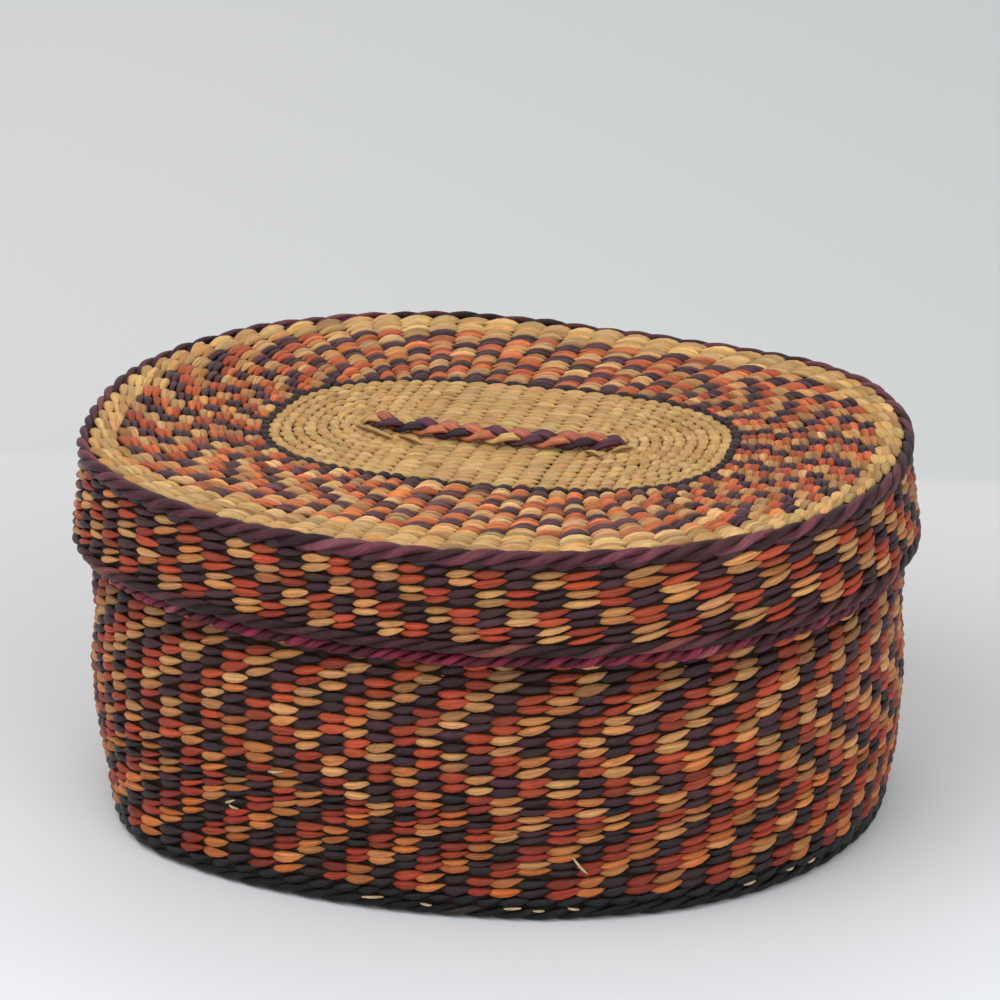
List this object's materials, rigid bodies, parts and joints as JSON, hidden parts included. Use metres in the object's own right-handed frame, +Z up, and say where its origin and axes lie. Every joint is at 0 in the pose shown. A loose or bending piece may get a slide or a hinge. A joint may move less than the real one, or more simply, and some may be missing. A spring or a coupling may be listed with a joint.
{
  "type": "lidded basket",
  "caption": "Oval twined basket with an overlapping lid, dyed plant-fibre courses in stepped chevrons, a cord ledge and a flat braided handle.",
  "frame": {"origin": "centre of the basket's footprint, on the surface it stands on", "axes": "+X along the long axis of the oval and the handle, +Z up; the side in the picture faces -Y"},
  "size_m": [0.305, 0.2694, 0.1363],
  "materials": {
    "woven_courses": "dyed plant-fibre weft in tan, rust and plum, slightly glossy",
    "woven_base": "plant-fibre weft, worn matte",
    "natural_fibre": "undyed straw-coloured plant fibre, satin",
    "warp_fibre": "undyed bundled grass, matte",
    "plum_braid": "plum-dyed plaited fibre, slightly glossy",
    "black_fibre": "black-dyed fibre, satin",
    "magenta_cord": "magenta-dyed twisted cord, slightly glossy",
    "salmon_fibre": "orange-pink dyed fibre, slightly glossy"
  },
  "bodies": {
    "basket": {"base_panel": "woven_base", "foot_braid": "black_fibre", "foot_course": "black_fibre", "body_warps": "warp_fibre", "wall_courses_1": "woven_courses", "wall_courses_2": "woven_courses", "wall_courses_3": "woven_courses", "wall_courses_4": "woven_courses", "wall_courses_5": "woven_courses", "wall_courses_6": "woven_courses", "ledge_cord": "magenta_cord", "neck_courses": "woven_courses", "mouth_braid": "plum_braid"},
    "lid": {"lid_rim_braid": "plum_braid", "lid_wall_warps": "warp_fibre", "lid_wall_courses_1": "woven_courses", "lid_wall_courses_2": "woven_courses", "lid_dark_course": "plum_braid", "shoulder_braid": "plum_braid", "lid_top_warps": "warp_fibre", "border_courses": "natural_fibre", "top_courses_3": "woven_courses", "top_courses_2": "woven_courses", "top_courses_1": "woven_courses", "outline_course": "black_fibre", "centre_panel": "natural_fibre", "handle_strand_plum": "plum_braid", "handle_strand_salmon": "salmon_fibre", "handle_strand_natural": "natural_fibre"}
  },
  "joints": [
    {"name": "lid_lift", "type": "slide", "parent": "basket", "child": "lid", "axis": [0, 0, 1], "range_m": [0, 0.08]}
  ]
}
